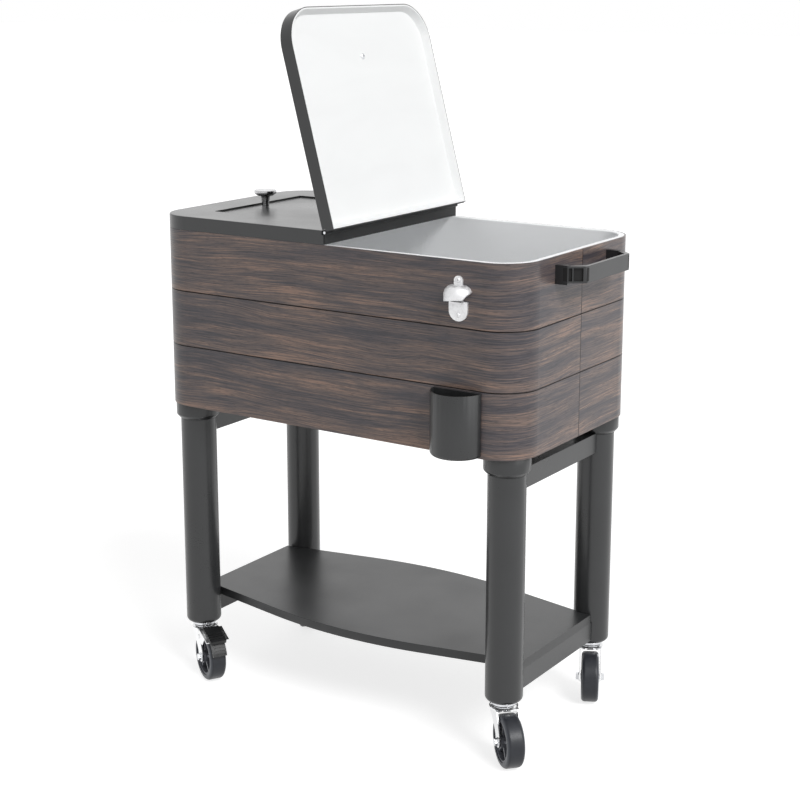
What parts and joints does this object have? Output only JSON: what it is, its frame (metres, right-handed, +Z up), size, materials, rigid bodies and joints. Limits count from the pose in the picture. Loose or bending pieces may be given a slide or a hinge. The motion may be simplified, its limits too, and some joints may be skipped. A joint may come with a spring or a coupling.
{
  "type": "patio cooler cart",
  "caption": "Insulated patio cooler cart: plank-look tub on four legs, split hinged lid, shelf, side handles, opener with cap catcher and swivel casters.",
  "frame": {"origin": "on the ground, under the middle of the cart's overall box", "axes": "+X along the tub towards the open lid's side, -Y towards the opener, +Z up"},
  "size_m": [0.8248, 0.452, 1.2153],
  "materials": {
    "walnut_print": "satin",
    "black_steel": "satin",
    "grey_liner": "satin",
    "white_plastic": "satin",
    "foam": "matte",
    "black_plastic": "satin",
    "charcoal_plastic": "satin",
    "charcoal_paint": "satin",
    "chrome": "polished",
    "satin_nickel": "satin",
    "zinc_steel": "satin",
    "grey_hub": "satin",
    "grey_tyre": "satin"
  },
  "bodies": {
    "cart": {"front_shell": "walnut_print", "back_shell": "walnut_print", "bottom_pan": "black_steel", "tank_liner": "grey_liner", "insulation": "foam", "drain_fitting": "black_plastic", "handle_left": "charcoal_plastic", "handle_right": "charcoal_plastic", "bottle_opener": "chrome", "wall_screws": "zinc_steel", "leg_front_left": "charcoal_paint", "leg_front_right": "charcoal_paint", "leg_back_left": "charcoal_paint", "leg_back_right": "charcoal_paint", "leg_collars": "charcoal_paint", "leg_bolts": "zinc_steel", "leg_inserts": "black_plastic", "caster_stems": "zinc_steel", "upper_rail_left": "charcoal_paint", "upper_rail_right": "charcoal_paint", "lower_rail_left": "charcoal_paint", "lower_rail_right": "charcoal_paint", "shelf": "charcoal_paint", "shelf_screws": "zinc_steel"},
    "left_lid": {"left_lid_shell": "charcoal_paint", "left_lid_liner": "white_plastic", "left_lid_foam": "foam", "left_lid_knob": "satin_nickel", "left_knob_screw": "zinc_steel", "left_hinge_leaf": "black_steel", "hinge_pin": "zinc_steel"},
    "right_lid": {"right_lid_shell": "charcoal_paint", "right_lid_liner": "white_plastic", "right_lid_foam": "foam", "right_lid_knob": "satin_nickel", "right_knob_screw": "zinc_steel", "right_hinge_leaf": "black_steel"},
    "catcher": {"cap_catcher": "charcoal_paint"},
    "drain_cap": {"drain_cap": "black_plastic"},
    "fork_front_left": {"fork_front_left": "chrome", "axle_front_left": "zinc_steel"},
    "wheel_front_left": {"hub_front_left": "grey_hub", "tyre_front_left": "grey_tyre"},
    "fork_front_right": {"fork_front_right": "chrome", "axle_front_right": "zinc_steel"},
    "wheel_front_right": {"hub_front_right": "grey_hub", "tyre_front_right": "grey_tyre"},
    "fork_back_left": {"fork_back_left": "chrome", "axle_back_left": "zinc_steel"},
    "wheel_back_left": {"hub_back_left": "grey_hub", "tyre_back_left": "grey_tyre"},
    "fork_back_right": {"fork_back_right": "chrome", "axle_back_right": "zinc_steel"},
    "wheel_back_right": {"hub_back_right": "grey_hub", "tyre_back_right": "grey_tyre"},
    "brake_front_left": {"brake_lever_front_left": "chrome", "brake_pads_front_left": "black_plastic"},
    "brake_back_left": {"brake_lever_back_left": "chrome", "brake_pads_back_left": "black_plastic"}
  },
  "joints": [
    {"name": "left_lid_hinge", "type": "hinge", "parent": "cart", "child": "left_lid", "pos_m": [0, 0.021, 0.8575], "axis": [0, 1, 0], "range_deg": [0, 105]},
    {"name": "right_lid_hinge", "type": "hinge", "parent": "left_lid", "child": "right_lid", "pos_m": [0, 0.021, 0.8575], "axis": [0, -1, 0], "range_deg": [-105, 0]},
    {"name": "catcher_lift", "type": "slide", "parent": "cart", "child": "catcher", "axis": [0, 0, 1], "range_m": [0, 0.01]},
    {"name": "drain_cap_pull", "type": "slide", "parent": "cart", "child": "drain_cap", "axis": [0, 0, -1], "range_m": [0, 0.03]},
    {"name": "swivel_front_left", "type": "hinge", "parent": "cart", "child": "fork_front_left", "pos_m": [-0.3195, -0.134, 0.092], "axis": [0, 0, 1], "continuous": true},
    {"name": "spin_front_left", "type": "hinge", "parent": "fork_front_left", "child": "wheel_front_left", "pos_m": [-0.29352, -0.149, 0.0445], "axis": [0.5, 0.866, 0], "continuous": true},
    {"name": "swivel_front_right", "type": "hinge", "parent": "cart", "child": "fork_front_right", "pos_m": [0.3195, -0.134, 0.092], "axis": [0, 0, 1], "continuous": true},
    {"name": "spin_front_right", "type": "hinge", "parent": "fork_front_right", "child": "wheel_front_right", "pos_m": [0.34179, -0.15407, 0.0445], "axis": [0.6691, 0.7431, 0], "continuous": true},
    {"name": "swivel_back_left", "type": "hinge", "parent": "cart", "child": "fork_back_left", "pos_m": [-0.3195, 0.176, 0.092], "axis": [0, 0, 1], "continuous": true},
    {"name": "spin_back_left", "type": "hinge", "parent": "fork_back_left", "child": "wheel_back_left", "pos_m": [-0.29943, 0.15371, 0.0445], "axis": [0.7431, 0.6691, 0], "continuous": true},
    {"name": "swivel_back_right", "type": "hinge", "parent": "cart", "child": "fork_back_right", "pos_m": [0.3195, 0.176, 0.092], "axis": [0, 0, 1], "continuous": true},
    {"name": "spin_back_right", "type": "hinge", "parent": "fork_back_right", "child": "wheel_back_right", "pos_m": [0.33358, 0.14951, 0.0445], "axis": [0.8829, 0.4695, 0], "continuous": true},
    {"name": "brake_front_left", "type": "hinge", "parent": "fork_front_left", "child": "brake_front_left", "pos_m": [-0.29439, -0.1485, 0.084], "axis": [0.5, 0.866, 0], "range_deg": [0, 6]},
    {"name": "brake_back_left", "type": "hinge", "parent": "fork_back_left", "child": "brake_back_left", "pos_m": [-0.3001, 0.15445, 0.084], "axis": [0.7431, 0.6691, 0], "range_deg": [0, 6]}
  ]
}
